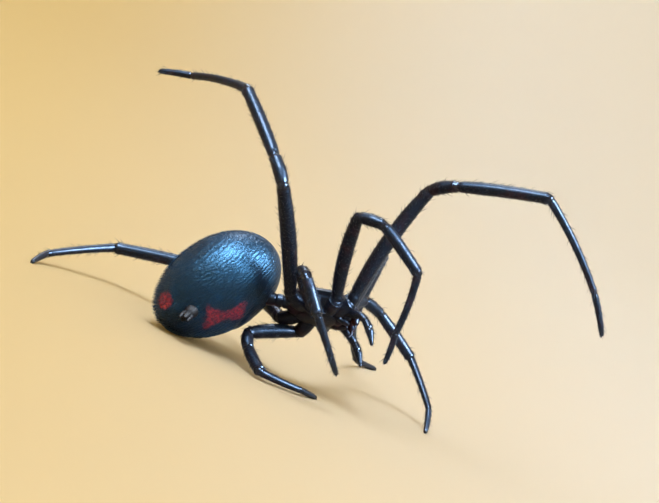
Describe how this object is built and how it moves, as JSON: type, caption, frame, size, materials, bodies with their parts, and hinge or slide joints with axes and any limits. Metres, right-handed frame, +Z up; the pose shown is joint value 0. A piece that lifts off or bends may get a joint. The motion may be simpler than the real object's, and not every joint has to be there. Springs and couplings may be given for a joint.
{
  "type": "black widow spider",
  "caption": "Life-size black widow spider, a still figure: glossy globe abdomen with red marks, low carapace, long slim legs, the right ones raised, resting on its belly and left feet.",
  "frame": {"origin": "on the floor, under the middle of the bounding box of the whole spider", "axes": "+X towards the head, +Y towards the spider's own left side, +Z up"},
  "size_m": [0.0298, 0.0244, 0.0158],
  "materials": {
    "cuticle": "glossy black cuticle with a dark red-brown tinge and fine bristles",
    "abdomen_skin": "satin blue-black skin with fine creases, short hairs and red marks underneath",
    "spinneret_skin": "dull dark brown, finely haired",
    "eye_lens": "polished black lens",
    "chelicera_cuticle": "glossy dark brown-black with a reddish fang"
  },
  "bodies": {
    "root": {"leg_left_1_femur": "cuticle", "leg_left_1_tibia": "cuticle", "leg_left_1_tarsus": "cuticle", "leg_left_2_femur": "cuticle", "leg_left_2_tibia": "cuticle", "leg_left_2_tarsus": "cuticle", "leg_left_3_femur": "cuticle", "leg_left_3_tibia": "cuticle", "leg_left_3_tarsus": "cuticle", "leg_left_4_femur": "cuticle", "leg_left_4_tibia": "cuticle", "leg_left_4_tarsus": "cuticle", "leg_right_1_femur": "cuticle", "leg_right_1_tibia": "cuticle", "leg_right_1_tarsus": "cuticle", "leg_right_2_femur": "cuticle", "leg_right_2_tibia": "cuticle", "leg_right_2_tarsus": "cuticle", "leg_right_3_femur": "cuticle", "leg_right_3_tibia": "cuticle", "leg_right_3_tarsus": "cuticle", "leg_right_4_femur": "cuticle", "leg_right_4_tibia": "cuticle", "leg_right_4_tarsus": "cuticle", "prosoma": "cuticle", "waist": "cuticle", "palp_left": "cuticle", "palp_right": "cuticle", "chelicera_left": "chelicera_cuticle", "chelicera_right": "chelicera_cuticle", "eye_front_middle_left": "eye_lens", "eye_front_middle_right": "eye_lens", "eye_front_side_left": "eye_lens", "eye_front_side_right": "eye_lens", "eye_rear_middle_left": "eye_lens", "eye_rear_middle_right": "eye_lens", "eye_rear_side_left": "eye_lens", "eye_rear_side_right": "eye_lens", "abdomen": "abdomen_skin", "spinnerets": "spinneret_skin"}
  },
  "joints": []
}
